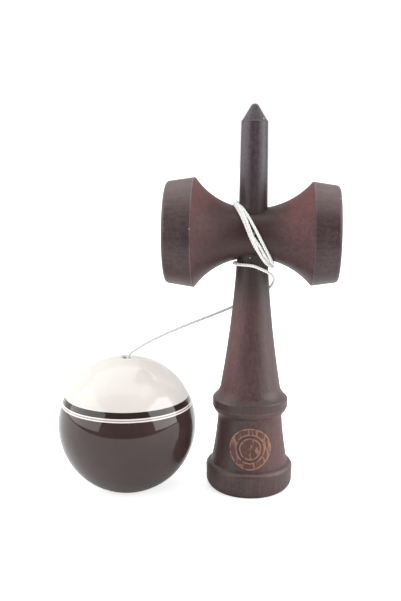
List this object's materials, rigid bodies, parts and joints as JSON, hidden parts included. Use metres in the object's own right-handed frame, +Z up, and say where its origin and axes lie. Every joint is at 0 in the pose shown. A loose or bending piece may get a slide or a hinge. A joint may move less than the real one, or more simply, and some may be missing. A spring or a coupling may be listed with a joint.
{
  "type": "kendama",
  "caption": "Wooden cup-and-ball toy: a turned handle with a spike and a double cup across it, and a drilled ball on a cord beside it.",
  "frame": {"origin": "on the floor at the middle of the handle's standing ring", "axes": "+Z up along the handle, X along the double cup with the big cup at -X, +Y towards the back, away from the cord hole"},
  "size_m": [0.1192, 0.06, 0.165],
  "materials": {
    "ken_wood": "dark stained wood, satin",
    "sarado_wood": "dark stained wood, satin",
    "tama_lacquer": "lacquered wood, gloss, cream over dark brown with a white line",
    "bead_wood": "plain light wood",
    "cord_white": "twisted white cord"
  },
  "bodies": {
    "ken": {"ken": "ken_wood", "ken_knot": "cord_white"},
    "sarado": {"sarado": "sarado_wood", "string_core": "cord_white", "string_lashing": "cord_white"},
    "string": {"string_free": "cord_white", "string_in_tama": "cord_white"},
    "tama": {"tama": "tama_lacquer"},
    "bead": {"stopper_bead": "bead_wood", "bead_knot": "cord_white"}
  },
  "joints": [
    {"name": "sarado_slide", "type": "slide", "parent": "ken", "child": "sarado", "axis": [0, 0, 1], "range_m": [0, 0.066], "deforming": ["string_core"]},
    {"name": "tama_swing", "type": "hinge", "parent": "sarado", "child": "string", "pos_m": [-0.00327, 0.00855, 0.0811], "axis": [-0.2415, 0.9704, 0], "range_deg": [0, 30]},
    {"name": "tama_spin", "type": "hinge", "parent": "string", "child": "tama", "pos_m": [-0.05346, -0.00394, 0.0279], "axis": [0, 0, 1], "continuous": true},
    {"name": "bead_pull", "type": "slide", "parent": "string", "child": "bead", "axis": [0, 0, 1], "range_m": [0, 0.006], "deforming": ["string_in_tama"]}
  ]
}
